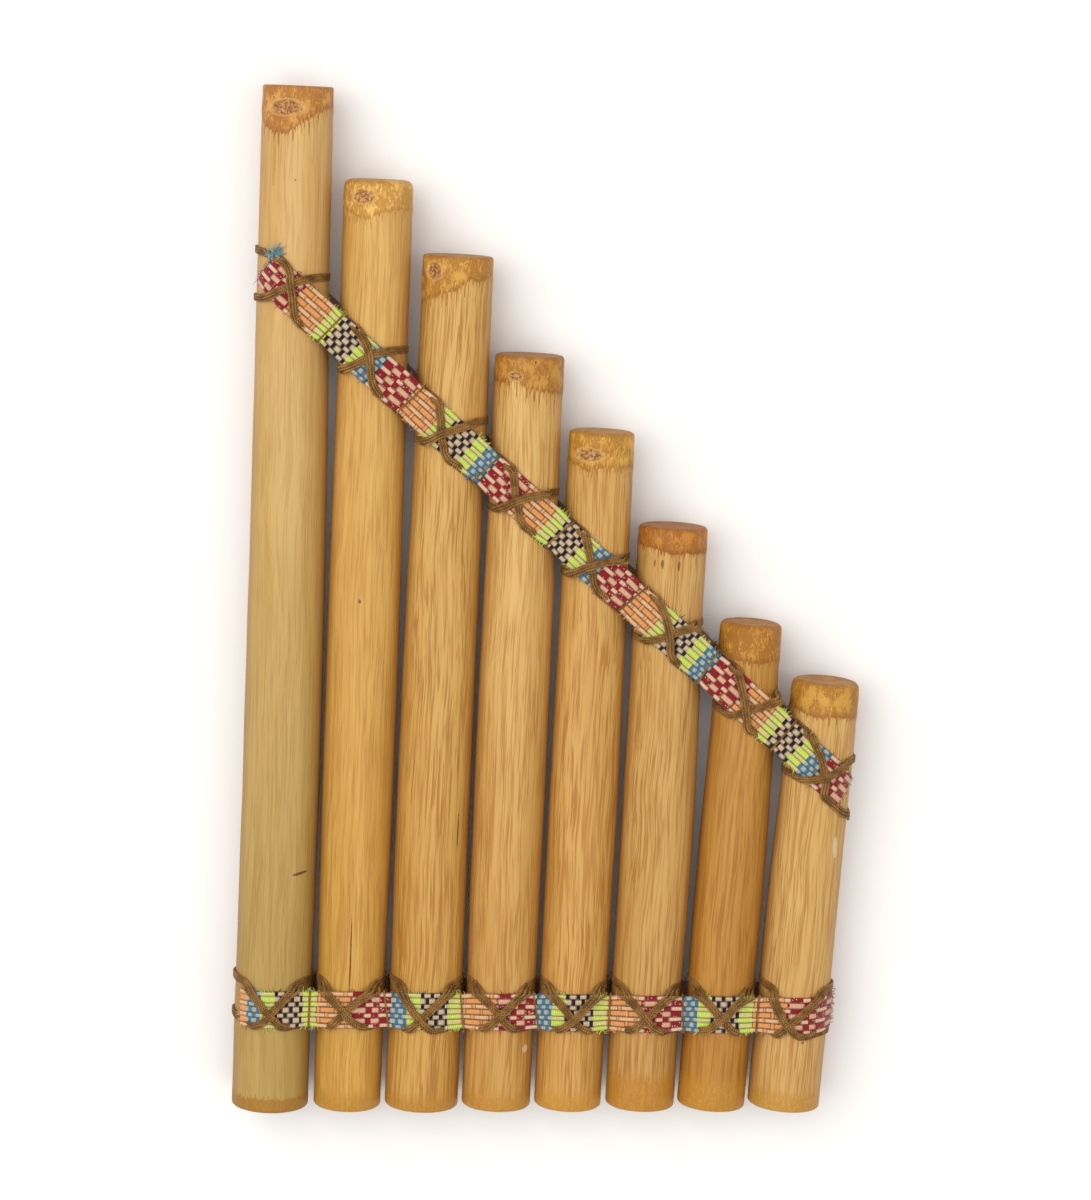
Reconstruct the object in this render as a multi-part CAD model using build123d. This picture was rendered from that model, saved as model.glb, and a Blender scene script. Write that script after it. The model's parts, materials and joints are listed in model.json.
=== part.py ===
"""Eight-cane bamboo pan flute, bound by woven ribbons and cord lashings.

It lies on its back: X runs from the longest cane to the shortest, +Y from the mouths to the closed ends,
+Z out of the front face. Lengths are in millimetres.
"""

import os
from math import cos, radians, sin, tan

from build123d import *

# Canes, longest first: where each mouth stands, how long and how thick the cane is, and how far it leans
MOUTH_X = (-81.8, -59.0, -36.95, -14.8, 6.4, 27.8, 48.9, 70.4)
LENGTH = (299.0, 272.5, 251.0, 222.5, 200.5, 173.0, 145.0, 128.0)
LEAN = (2.2, 2.4, 2.75, 2.65, 2.85, 3.05, 4.38, 5.15)
MOUTH_RADIUS = (11.3, 9.9, 10.8, 10.15, 9.9, 10.2, 10.0, 10.65)
TOP_RADIUS = (10.1, 9.9, 10.15, 10.0, 9.5, 10.0, 8.95, 9.9)
WALL = 2.2
NODE_WALL = 6.0
MOUTH_ROUNDING = 1.3
TOP_ROUNDING = 1.5

# Ribbons: height over the mouths where they cross the middle, and their slope
RIBBON_WIDTH = 11.1
RIBBON_THICKNESS = 1.0
LOWER_HEIGHT = 30.3
LOWER_SLOPE = -0.8
UPPER_HEIGHT = 175.0
UPPER_SLOPE = -42.2
UPPER_END = 10.0
LOWER_FLAT = 8.0
UPPER_FLAT = 6.5

# Lashings: a bundle of three cords side by side, pressed thin between the canes
BUNDLE_WIDTH = 3.0
BUNDLE_THICKNESS = 1.0
PRESSED_THICKNESS = 0.4
SHOULDER = 1.0
UPPER_ARMS = (14.0, -62.0)
LOWER_ARM_RISE = 11.0
LOWER_ARM_DROP = 9.3

# Single turns of cord at the gaps
TURN_THICKNESS = 0.5

CLEARANCE = 0.1
OVER_RIBBON = 0.25
SIDE_GAP = 1.2
REACH = 60.0
COUNT = len(LENGTH)


def radius_at(number, along):
    """Outer radius of a cane at a distance from its mouth."""
    share = along / LENGTH[number]
    return MOUTH_RADIUS[number] + (TOP_RADIUS[number] - MOUTH_RADIUS[number]) * share


def on_cane(number, along=0.0):
    """A place on a cane's axis, with its Y along the cane and its Z out of the front face."""
    lean = radians(LEAN[number])
    start = (MOUTH_X[number] + along * sin(lean), along * cos(lean), 0)
    return Plane(origin=start, x_dir=(cos(lean), -sin(lean), 0), z_dir=(0, 0, 1)).location


def crossing(number, height, slope):
    """How far from its mouth a cane's axis meets the centre line of a ribbon."""
    lean = radians(LEAN[number])
    rise = tan(radians(slope))
    return (height + rise * MOUTH_X[number]) / (cos(lean) - rise * sin(lean))


def cane(number):
    """A stopped cane: a tapered outside with rounded ends around a straight blind bore."""
    length = LENGTH[number]
    bore = TOP_RADIUS[number] - WALL
    depth = length - NODE_WALL
    outline = Polyline(
        (bore, 0), (MOUTH_RADIUS[number], 0), (TOP_RADIUS[number], length), (0, length), (0, depth), (bore, depth),
        close=True,
    )
    section = make_face(outline)
    rim = section.vertices().sort_by_distance((MOUTH_RADIUS[number], 0))[0]
    section = fillet(rim, MOUTH_ROUNDING)
    crown = section.vertices().sort_by_distance((TOP_RADIUS[number], length))[0]
    section = fillet(crown, TOP_ROUNDING)
    return on_cane(number) * revolve(section, Axis.Y)


def along_ribbon(height, slope):
    """The frame of a ribbon: X along it from the middle of the flute, Y across it, Z out of the front face."""
    turn = radians(slope)
    return Plane(origin=(0, height, 0), x_dir=(cos(turn), sin(turn), 0), z_dir=(0, 0, 1)).location


def ribbon_stations(height, slope):
    """For each cane, how far along the ribbon it is crossed, and the cane's radius there."""
    stations = []
    for number in range(COUNT):
        along = crossing(number, height, slope)
        lean = radians(LEAN[number])
        x = MOUTH_X[number] + along * sin(lean)
        stations.append((x / cos(radians(slope)), radius_at(number, along)))
    return stations


def ribbon(height, slope, flat, start, end):
    """A ribbon over the crowns of all the canes. start and end are how far it goes on past the outer crowns."""
    stations = ribbon_stations(height, slope)
    low = CLEARANCE
    high = CLEARANCE + RIBBON_THICKNESS
    under = []
    for place, radius in stations:
        under += [(place - flat, radius + low), (place + flat, radius + low)]
    over = [(place, level + high - low) for place, level in reversed(under)]
    section = make_face(Plane.XZ * Polyline(*under, *over, close=True))
    band = along_ribbon(height, slope) * Pos(0, RIBBON_WIDTH / 2, 0) * extrude(section, RIBBON_WIDTH)
    first = on_cane(0, crossing(0, height, slope))
    last = on_cane(COUNT - 1, crossing(COUNT - 1, height, slope))
    side = Box(REACH, 4 * REACH, REACH)
    band = band - first * Pos(-REACH / 2, 0, 0) * side - last * Pos(REACH / 2, 0, 0) * side
    for spot, radius, way in ((first, stations[0][1], -1), (last, stations[-1][1], 1)):
        tube = Cylinder(radius + high, REACH, rotation=(90, 0, 0))
        tube -= Cylinder(radius + low, REACH, rotation=(90, 0, 0))
        quarter = Pos(way * REACH / 4, 0, REACH / 4 + SIDE_GAP) * Box(REACH / 2, REACH, REACH / 2)
        left = stations[0][0] - start
        right = stations[-1][0] + end
        strip = Pos((left + right) / 2, 0, 0) * Box(right - left, RIBBON_WIDTH, REACH)
        band += (spot * (tube & quarter)) & (along_ribbon(height, slope) * strip)
    return band.clean()


def sleeve(radius, inner):
    """A close sleeve along a cane, square shouldered: inner is its half height inside."""
    half = radius + CLEARANCE
    hole = RectangleRounded(2 * half, 2 * inner, SHOULDER)
    skin = RectangleRounded(
        2 * (half + PRESSED_THICKNESS), 2 * (inner + BUNDLE_THICKNESS), SHOULDER + PRESSED_THICKNESS
    )
    return extrude(Plane.XZ * (skin - hole), REACH / 2, both=True)


def bundle(radius, level, angle, middle):
    """One loop of the X: the part of a sleeve that lies under a slanted strip."""
    strip = Pos(0, middle, 0) * Rot(0, 0, angle) * Box(2 * REACH, BUNDLE_WIDTH, 2 * REACH)
    return sleeve(radius, level) & strip


def lashing(number, height, slope, arms, middle):
    """Two crossed loops around a cane and both of its ribbons."""
    along = crossing(number, height, slope)
    radius = radius_at(number, along - LOWER_ARM_DROP)
    inner = radius + CLEARANCE + RIBBON_THICKNESS + OVER_RIBBON
    outer = inner + BUNDLE_THICKNESS + CLEARANCE
    loops = [bundle(radius, inner, arms[0], middle), bundle(radius, outer, arms[1], middle)]
    return on_cane(number, along) * Compound([loop.solid() for loop in loops])


def lower_arms(number):
    """The slant of the lower X and how far its middle stands above the ribbon's."""
    half = MOUTH_RADIUS[number] + CLEARANCE + PRESSED_THICKNESS / 2
    slant = Vector(2 * half, LOWER_ARM_RISE + LOWER_ARM_DROP).get_angle(Vector(1, 0))
    return (-slant, slant), (LOWER_ARM_RISE - LOWER_ARM_DROP) / 2


def turns(height, slope):
    """The single turn of cord round a ribbon at each gap between two canes."""
    stations = ribbon_stations(height, slope)
    inner = (RIBBON_WIDTH + 2 * CLEARANCE, RIBBON_THICKNESS + 2 * CLEARANCE)
    grown = [side + 2 * TURN_THICKNESS for side in inner]
    ring = Box(TURN_THICKNESS, *grown) - Box(TURN_THICKNESS, *inner)
    rings = []
    for (place, radius), (next_place, next_radius) in zip(stations, stations[1:]):
        level = (radius + next_radius) / 2 + CLEARANCE + RIBBON_THICKNESS / 2
        spot = along_ribbon(height, slope) * Pos((place + next_place) / 2, 0, level)
        rings.append((spot * ring).solid())
    return Compound(rings)


def main():
    pieces = {}
    for number in range(COUNT):
        pieces[f"cane_{number + 1}"] = cane(number)
        pieces[f"upper_lashing_{number + 1}"] = lashing(number, UPPER_HEIGHT, UPPER_SLOPE, UPPER_ARMS, 0)
        pieces[f"lower_lashing_{number + 1}"] = lashing(number, LOWER_HEIGHT, LOWER_SLOPE, *lower_arms(number))
    bands = {
        "upper": (UPPER_HEIGHT, UPPER_SLOPE, UPPER_FLAT, UPPER_END, UPPER_END),
        "lower": (LOWER_HEIGHT, LOWER_SLOPE, LOWER_FLAT, REACH, REACH),
    }
    for name, (height, slope, flat, start, end) in bands.items():
        front = ribbon(height, slope, flat, start, end)
        ties = turns(height, slope)
        pieces[f"front_{name}_ribbon"] = front
        pieces[f"back_{name}_ribbon"] = mirror(front, Plane.XY)
        pieces[f"front_{name}_turns"] = ties
        pieces[f"back_{name}_turns"] = mirror(ties, Plane.XY)

    boxes = [shape.bounding_box() for shape in pieces.values()]
    low = Vector(min(box.min.X for box in boxes), min(box.min.Y for box in boxes), min(box.min.Z for box in boxes))
    high = Vector(max(box.max.X for box in boxes), max(box.max.Y for box in boxes), max(box.max.Z for box in boxes))
    to_origin = Pos(-(low.X + high.X) / 2, -(low.Y + high.Y) / 2, -low.Z)
    os.makedirs("parts", exist_ok=True)
    for name, shape in pieces.items():
        export_step(to_origin * shape, f"parts/{name}.step")
    print("size", high - low, "moved by", to_origin.position)


main()
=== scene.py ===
"""An eight-cane bamboo pan flute on its back, bound by two pairs of woven ribbons and by cord lashings.

The canes are turned from rings, the ribbons are laid from crown to crown, and each cord is pulled tight
over what it holds. Working lengths are in millimetres, and a finished mesh is in metres.
"""

import json
import math
import random

import bmesh
import bpy
import numpy as np
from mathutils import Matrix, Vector


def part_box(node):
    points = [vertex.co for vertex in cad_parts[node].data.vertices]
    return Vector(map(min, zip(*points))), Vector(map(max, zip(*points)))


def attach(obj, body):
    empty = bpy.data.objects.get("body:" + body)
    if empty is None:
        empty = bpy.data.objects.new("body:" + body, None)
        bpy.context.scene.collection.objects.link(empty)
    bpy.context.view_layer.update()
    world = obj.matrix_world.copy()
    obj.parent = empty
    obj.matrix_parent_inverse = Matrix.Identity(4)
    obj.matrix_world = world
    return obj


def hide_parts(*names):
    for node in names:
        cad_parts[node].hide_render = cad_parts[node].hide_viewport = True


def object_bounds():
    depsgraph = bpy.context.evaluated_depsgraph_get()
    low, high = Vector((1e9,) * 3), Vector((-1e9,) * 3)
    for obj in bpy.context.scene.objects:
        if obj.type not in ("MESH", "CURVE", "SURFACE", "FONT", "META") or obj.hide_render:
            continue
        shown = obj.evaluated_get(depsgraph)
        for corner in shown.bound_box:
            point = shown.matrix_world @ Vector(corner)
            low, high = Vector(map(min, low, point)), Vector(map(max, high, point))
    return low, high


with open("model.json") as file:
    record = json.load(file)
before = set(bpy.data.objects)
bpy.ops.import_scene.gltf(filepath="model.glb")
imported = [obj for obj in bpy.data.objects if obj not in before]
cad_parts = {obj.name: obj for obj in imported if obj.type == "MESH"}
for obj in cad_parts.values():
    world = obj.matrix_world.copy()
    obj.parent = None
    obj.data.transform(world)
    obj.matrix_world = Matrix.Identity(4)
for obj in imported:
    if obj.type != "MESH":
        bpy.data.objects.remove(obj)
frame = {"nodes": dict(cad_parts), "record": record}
cad_box = [list(corner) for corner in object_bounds()]

MM = 0.001
COUNT = 8
AXIS_HEIGHT = (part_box("cane_1")[0].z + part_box("cane_1")[1].z) / 2 / MM
SIDES = {"front": 1, "back": -1}

# Camera: how far it stands, how much it tilts towards the mouths, and its lens
CAMERA_DISTANCE = 1.0174
CAMERA_TILT = math.radians(8.13)
CAMERA_AIM = (0.0007, 0.0017)
LENS = 105

# Canes
RING_SIDES = 96
END_ZONE = 3.0
RING_SPACING = 2.6
# The bores are narrower than this and the outsides wider
BORES_WITHIN = 8.6
BORE_SKIN = 1.2
MOUTH_ROUNDING = 1.0
SKIN_WAVE = 0.35

# Ribbons
RIBBON_SLOPE = {"upper": -42.2, "lower": -0.8}
RIBBON_ENDS = {"upper": (10.0, 10.5), "lower": (9.4, 15.0)}
PATTERN_REPEAT = {"upper": 43.0, "lower": 42.6}
PATTERN_START = {"upper": -4.2, "lower": 29.6}
PATTERN_WAY = {"upper": 1, "lower": -1}
SAG = 1.3
UNDER_GAP = 0.06
CLOTH = 0.72
RELIEF = 0.27
STATION = 0.35
ROW_WIDTHS = (1.35, 1.85, 1.35, 1.85, 1.35, 1.85, 1.35)
ROW_CUTS = 6
PINCH = 0.07

# Cords
CORD_RADIUS = 0.4
CORD_PITCH = 0.76
CORD_STEP = 0.38
CORD_SIDES = 9
PLIES = 3
TWIST_PITCH = 2.1
PRESSED = 0.42
TURN_RADIUS = 0.27
# How far out of the skin a cord runs over the cloth, and how often it is pulled before it lies tight
OVER_CLOTH = 1.3
PULLS = 260
# Crossed cords rest on each other, with their middles this many radii apart, where they are this near
NESTED = 1.75
NEAR_CROSSING = (1.5, 2.2)
# A cord counts as on top of its cane while the cosine of its angle is over this
ON_TOP = 0.3


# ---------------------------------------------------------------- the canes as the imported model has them


class Cane:
    """A cane's axis, length and outer radii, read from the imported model."""

    def __init__(self, number):
        self.number = number
        self.name = f"cane_{number + 1}"
        mount = {m["name"]: m for m in frame["record"]["mounts"]}[f"mouth_{number + 1}"]
        self.axis = -Vector(mount["axis"])
        self.across = Vector((self.axis.y, -self.axis.x, 0))
        self.bore = mount["dims"]["r_mm"]
        self.depth = mount["dims"]["length_mm"]
        self.mouth = Vector(mount["pos_m"]) / MM - self.axis * self.depth / 2
        mesh = frame["nodes"][self.name].data
        corners = np.array([v.co for v in mesh.vertices]) / MM - np.array(self.mouth)
        along = corners @ np.array(self.axis)
        out = np.hypot(corners @ np.array(self.across), corners[:, 2])
        self.length = float(along.max())
        self.mouth_radius = float(out[along < END_ZONE].max())
        self.top_radius = float(out[along > self.length - END_ZONE].max())
        self.lean = math.atan2(self.axis.x, self.axis.y)

    def radius(self, along):
        """Outer radius at a distance from the mouth."""
        return self.mouth_radius + (self.top_radius - self.mouth_radius) * along / self.length


canes = [Cane(number) for number in range(COUNT)]
MOUTHS = np.array([cane.mouth[:2] for cane in canes])
AXES = np.array([cane.axis[:2] for cane in canes])
ACROSS = np.array([cane.across[:2] for cane in canes])


# ---------------------------------------------------------------- shader bench


class Bench:
    """A node tree being wired. Each call adds one node and gives back its first output."""

    def __init__(self, tree):
        self.tree = tree

    def node(self, kind, inputs=None, **settings):
        """Adds a node. An input given as a socket is linked, and any other value is set."""
        made = self.tree.nodes.new(kind)
        for name, value in settings.items():
            setattr(made, name, value)
        for name, value in (inputs or {}).items():
            if isinstance(value, bpy.types.NodeSocket):
                self.tree.links.new(value, made.inputs[name])
            else:
                made.inputs[name].default_value = value
        return made

    def maths(self, operation, *values):
        return self.node("ShaderNodeMath", dict(enumerate(values)), operation=operation).outputs[0]

    def add(self, a, b):
        return self.maths("ADD", a, b)

    def less(self, a, b):
        return self.maths("SUBTRACT", a, b)

    def times(self, a, b):
        return self.maths("MULTIPLY", a, b)

    def step(self, value, low, high, out_low=0.0, out_high=1.0):
        """A smooth step from low to high."""
        inputs = {"Value": value, "From Min": low, "From Max": high, "To Min": out_low, "To Max": out_high}
        return self.node("ShaderNodeMapRange", inputs, interpolation_type="SMOOTHSTEP").outputs[0]

    def parts(self, vector):
        return self.node("ShaderNodeSeparateXYZ", {"Vector": vector}).outputs

    def point(self, x=0.0, y=0.0, z=0.0):
        return self.node("ShaderNodeCombineXYZ", {"X": x, "Y": y, "Z": z}).outputs[0]

    def stretch(self, vector, *scale):
        inputs = {0: vector, 1: scale}
        return self.node("ShaderNodeVectorMath", inputs, operation="MULTIPLY").outputs[0]

    def add_vectors(self, vector, offset):
        inputs = {0: vector, 1: offset}
        return self.node("ShaderNodeVectorMath", inputs, operation="ADD").outputs[0]

    def noise(self, vector, scale=1.0, detail=2.0, roughness=0.5):
        inputs = {"Vector": vector, "Scale": scale, "Detail": detail, "Roughness": roughness}
        return self.node("ShaderNodeTexNoise", inputs).outputs["Fac"]

    def mix(self, factor, first, second, blend="MIX"):
        made = self.node("ShaderNodeMix", data_type="RGBA", blend_type=blend)
        for slot, value in ((0, factor), (6, first), (7, second)):
            if isinstance(value, bpy.types.NodeSocket):
                self.tree.links.new(value, made.inputs[slot])
            else:
                made.inputs[slot].default_value = value
        return made.outputs[2]

    def bump(self, height, distance):
        return self.node("ShaderNodeBump", {"Height": height, "Distance": distance}).outputs[0]


def shader_group(name, inputs, outputs, wire):
    """A node group with named sockets. wire(bench, sockets) gives back the value of each output."""
    tree = bpy.data.node_groups.new(name, "ShaderNodeTree")
    kinds = {"f": "NodeSocketFloat", "v": "NodeSocketVector", "c": "NodeSocketColor"}
    for label, kind in inputs.items():
        tree.interface.new_socket(label, in_out="INPUT", socket_type=kinds[kind])
    for label, kind in outputs.items():
        tree.interface.new_socket(label, in_out="OUTPUT", socket_type=kinds[kind])
    bench = Bench(tree)
    results = wire(bench, tree.nodes.new("NodeGroupInput").outputs)
    end = tree.nodes.new("NodeGroupOutput")
    for label, socket in results.items():
        tree.links.new(socket, end.inputs[label])
    return tree


def use_group(bench, group, inputs):
    return bench.node("ShaderNodeGroup", inputs, node_tree=group).outputs


def new_material(name):
    """A material with its nodes turned on, and the Principled shader that it starts with."""
    material = bpy.data.materials.new(name)
    material.use_nodes = True
    bench = Bench(material.node_tree)
    return material, bench, material.node_tree.nodes["Principled BSDF"]


def colour(red, green, blue):
    """A paint colour of 0 to 255 each, as the linear colour that shaders read."""
    levels = [level / 255 for level in (red, green, blue)]
    linear = [v / 12.92 if v <= 0.04045 else ((v + 0.055) / 1.055) ** 2.4 for v in levels]
    return (*linear, 1.0)


# ---------------------------------------------------------------- effects that several finishes share


def wire_fibre(bench, sockets):
    """Lengthwise bamboo fibre that sways a little, on a place in millimetres."""
    sway = bench.noise(bench.stretch(sockets["Place"], 0.05, 0.028, 0.05), 1.0, 1.0, 0.5)
    place = bench.add_vectors(sockets["Place"], bench.point(bench.times(bench.less(sway, 0.5), 3.5)))
    broad = bench.noise(bench.stretch(place, 0.16, 0.012, 0.16), 1.0, 3.0, 0.55)
    streak = bench.noise(bench.stretch(place, 0.8, 0.024, 0.8), 1.0, 3.0, 0.6)
    fine = bench.noise(bench.stretch(place, 2.6, 0.05, 2.6), 1.0, 2.0, 0.6)
    scratch = bench.noise(bench.stretch(place, 1.9, 0.05, 1.9), 1.0, 2.0, 0.5)
    region = bench.noise(bench.stretch(place, 0.12, 0.03, 0.12), 1.0, 1.0, 0.5)
    worn = bench.step(region, 0.34, 0.56)
    lines = bench.times(bench.step(scratch, 0.53, 0.62), worn)
    scraped = bench.times(bench.step(scratch, 0.47, 0.36), worn)
    streaks = bench.add(bench.times(streak, 0.5), bench.times(fine, 0.5))
    height = bench.less(bench.times(fine, 0.6), lines)
    return {"Broad": broad, "Streak": streaks, "Lines": lines, "Scraped": scraped, "Height": height}


def wire_stain(bench, sockets):
    """A stain that reaches in from one end to a ragged, slanted and dipping edge, with runs past it."""
    around = sockets["Around"]
    seed = sockets["Seed"]
    wobble = bench.noise(bench.point(bench.times(around, 0.35), seed), 1.0, 3.0, 0.65)
    teeth = bench.noise(bench.point(bench.times(around, 1.3), bench.add(seed, 7.0)), 1.0, 2.0, 0.6)
    runs = bench.maths("POWER", bench.step(teeth, 0.42, 0.68), 1.7)
    reach = bench.add(sockets["Reach"], bench.times(around, sockets["Slant"]))
    from_dip = bench.maths("DIVIDE", bench.less(around, sockets["Dip at"]), sockets["Dip width"])
    dip = bench.maths("EXPONENT", bench.times(bench.times(from_dip, from_dip), -1.0))
    reach = bench.add(reach, bench.times(dip, sockets["Dip"]))
    reach = bench.add(reach, bench.times(bench.less(wobble, 0.5), sockets["Ragged"]))
    reach = bench.add(reach, bench.times(runs, sockets["Runs"]))
    inside = bench.less(reach, sockets["From end"])
    mask = bench.step(bench.maths("DIVIDE", inside, sockets["Softness"]), -0.5, 0.5)
    rim = bench.times(mask, bench.step(inside, 0.0, 2.6, 1.0, 0.0))
    return {"Mask": mask, "Rim": rim}


def wire_speckle(bench, sockets):
    """Short golden ticks, as on scorched bamboo."""
    place = sockets["Place"]
    ticks = bench.noise(bench.stretch(place, 1.9, 0.5, 1.9), 1.0, 2.0, 0.65)
    grains = bench.noise(bench.stretch(place, 3.0, 1.3, 3.0), 1.0, 1.0, 0.5)
    mask = bench.step(bench.add(bench.times(ticks, 0.6), bench.times(grains, 0.4)), 0.47, 0.62)
    return {"Mask": mask}


def wire_mark(bench, sockets):
    """An oval mark at a place on the skin: its filled shape and the ring round it."""
    turn = sockets["Turn"]
    across = bench.less(sockets["Around"], sockets["Across"])
    along = bench.less(sockets["Along"], sockets["Up"])
    cosine = bench.maths("COSINE", turn)
    sine = bench.maths("SINE", turn)
    x = bench.add(bench.times(across, cosine), bench.times(along, sine))
    y = bench.less(bench.times(along, cosine), bench.times(across, sine))
    x = bench.maths("DIVIDE", x, sockets["Half width"])
    y = bench.maths("DIVIDE", y, sockets["Half length"])
    ripple = bench.noise(bench.point(sockets["Around"], sockets["Along"]), 0.7, 3.0, 0.65)
    far = bench.maths("SQRT", bench.add(bench.times(x, x), bench.times(y, y)))
    far = bench.add(far, bench.times(bench.less(ripple, 0.5), 0.9))
    from_ring = bench.maths("ABSOLUTE", bench.less(far, 1.1))
    return {"Mask": bench.step(far, 0.75, 1.1, 1.0, 0.0), "Ring": bench.step(from_ring, 0.0, 0.25, 1.0, 0.0)}


FIBRE_OUTPUTS = ("Broad", "Streak", "Lines", "Scraped", "Height")
fibre = shader_group("bamboo_fibre", {"Place": "v"}, dict.fromkeys(FIBRE_OUTPUTS, "f"), wire_fibre)
STAIN_INPUTS = (
    "Around", "From end", "Reach", "Slant", "Dip at", "Dip width", "Dip", "Ragged", "Runs", "Softness",
    "Seed",
)
stain = shader_group("end_stain", dict.fromkeys(STAIN_INPUTS, "f"), {"Mask": "f", "Rim": "f"}, wire_stain)
speckle = shader_group("scorch_speckle", {"Place": "v"}, {"Mask": "f"}, wire_speckle)
MARK_INPUTS = ("Around", "Along", "Across", "Up", "Half width", "Half length", "Turn")
mark = shader_group("skin_mark", dict.fromkeys(MARK_INPUTS, "f"), {"Mask": "f", "Ring": "f"}, wire_mark)


# ---------------------------------------------------------------- the canes' finishes

# How each cane looks. It swells and bows between its lashings. Its skin has a tone near both ends (high is
# the closed one) and is worn more or less. The closed end is rounded by crown, and the scorch on it reaches
# in by cap, slants, dips and runs. The mouth is stained over the length stain, with an edge as soft as
# stain_soft. A scar or a mark gives its place round the skin and up from the mouth (a scar or a drip: down
# from the closed end), then its half width and half length, and a mark its turn.
PLAIN_LOOK = dict(stain=5.0, stain_soft=5.0, scar=None, drip=None, marks=())
CANE_LOOKS = (
    dict(
        swell=0.44, bow=0.7, high=(218, 175, 115), low=(188, 155, 92), worn=0.2,
        crown=0.7, cap=7.2, slant=-0.1, dip=(-4.0, 8.5, 5.8), ragged=2.6, runs=4.5, scorch=(200, 141, 76),
        mouth=(187, 138, 54), stain=4.2, stain_soft=0.6,
        scar=(-3.0, 6.2, 5.1, 2.1), drip=(-6.4, 19.0, 0.75, 12.0),
        marks=(("crack", 7.7, 72.0, 2.7, 0.42, 0.18), ("spot", 0.6, 272.5, 0.25, 0.3, 0)),
    ),
    dict(
        swell=0.6, bow=0.05, high=(221, 173, 102), low=(211, 160, 78), worn=0.45,
        crown=2.3, cap=8.4, slant=-0.02, dip=(-3.5, 5.0, 2.6), ragged=2.0, runs=4.0, scorch=(223, 177, 102),
        mouth=(215, 165, 74), scar=(-3.9, 4.8, 3.6, 1.9),
        marks=(("crack", 0.1, 47.5, 0.2, 12.0, 0), ("spot", -0.8, 152.0, 0.4, 0.7, 0)),
    ),
    dict(
        swell=0.2, bow=-0.35, high=(216, 170, 102), low=(207, 157, 82), worn=1.0,
        crown=1.0, cap=9.5, slant=-0.33, dip=(4.0, 2.5, -1.5), ragged=2.6, runs=4.0, scorch=(200, 148, 67),
        mouth=(211, 158, 70), stain=4.5, stain_soft=4.5, scar=(-7.4, 4.5, 2.8, 2.4),
        marks=(("spot", -8.4, 208.0, 0.6, 1.2, 0.2), ("crack", 8.2, 84.0, 0.25, 6.0, 0.0)),
    ),
    dict(
        swell=0.4, bow=-0.1, high=(222, 178, 114), low=(208, 157, 87), worn=0.8,
        crown=1.2, cap=9.2, slant=0.12, dip=(-4.0, 3.0, -2.0), ragged=2.6, runs=9.0, scorch=(188, 132, 58),
        mouth=(217, 163, 78), scar=(-3.9, 5.8, 2.0, 1.3),
        marks=(("spot", 1.9, 221.0, 0.3, 0.35, 0), ("chip", 9.0, 18.8, 1.3, 1.3, 0)),
    ),
    dict(
        swell=0.4, bow=0.15, high=(214, 166, 98), low=(211, 160, 88), worn=1.0,
        crown=1.3, cap=9.4, slant=0.06, dip=(-4.0, 4.0, 1.6), ragged=2.6, runs=4.0, scorch=(204, 154, 69),
        mouth=(225, 172, 79), scar=(-3.9, 6.4, 4.1, 1.8),
    ),
    dict(
        swell=0.55, bow=0.5, high=(212, 166, 102), low=(204, 156, 90), worn=0.95,
        crown=1.3, cap=6.4, slant=0.08, dip=(0.0, 4.0, 0.8), ragged=1.6, runs=3.0, scorch=(187, 122, 44),
        mouth=(215, 157, 66), stain=10.5, stain_soft=4.0,
        marks=(
            ("spot", -2.9, 162.6, 0.5, 1.3, 0), ("spot", 2.0, 162.4, 0.45, 1.4, 0),
            ("spot", -5.4, 162.8, 0.3, 1.1, 0),
        ),
    ),
    dict(
        swell=0.5, bow=0.1, high=(196, 142, 68), low=(192, 134, 58), worn=0.65,
        crown=1.8, cap=10.2, slant=0.0, dip=(2.0, 5.0, 0.8), ragged=1.4, runs=2.0, scorch=(190, 135, 54),
        mouth=(217, 164, 71), stain=9.0, marks=(("spot", 3.4, 126.0, 0.3, 0.4, 0),),
    ),
    dict(
        swell=0.15, bow=-0.35, high=(220, 177, 113), low=(214, 168, 105), worn=0.9,
        crown=2.2, cap=9.2, slant=0.07, dip=(-3.0, 4.0, 0.8), ragged=2.0, runs=3.0, scorch=(196, 143, 60),
        mouth=(220, 171, 89), stain=5.5, stain_soft=3.0,
        marks=(("spot", 3.0, 21.5, 0.45, 0.3, 0.3), ("glue", 7.6, 80.0, 1.1, 3.4, 0.15)),
    ),
)
MARK_COLOURS = {
    "crack": colour(84, 52, 26),
    "spot": colour(120, 72, 32),
    "chip": colour(222, 186, 150),
    "glue": colour(214, 186, 144),
}
SCAR_PIT = colour(116, 60, 26)
SCAR_WOOD = colour(202, 150, 96)
SCAR_RING = colour(218, 170, 108)
# The soft light makes bare bamboo look brighter and paler than its paint, which is held back by this much
LIGHT_GAIN = (0.81, 0.79, 0.64)
PLAIN = (1, 1, 1)
PALE = (1.1, 1.15, 1.3)
DARK = (0.74, 0.58, 0.38)
DEEP = (0.64, 0.46, 0.27)
PALE_TICK = (1.42, 1.5, 1.6)
DARK_TICK = (0.82, 0.66, 0.42)


def bamboo_tone(seen, factor=PLAIN):
    """The paint that looks like the seen colour in this light, times a factor for each channel."""
    base = colour(*seen)
    return (*[base[k] * LIGHT_GAIN[k] * factor[k] for k in range(3)], 1.0)


def stain_on(bench, around, from_end, **values):
    inputs = {"Around": around, "From end": from_end}
    inputs.update({name.replace("_", " "): value for name, value in values.items()})
    return use_group(bench, stain, inputs)


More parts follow.
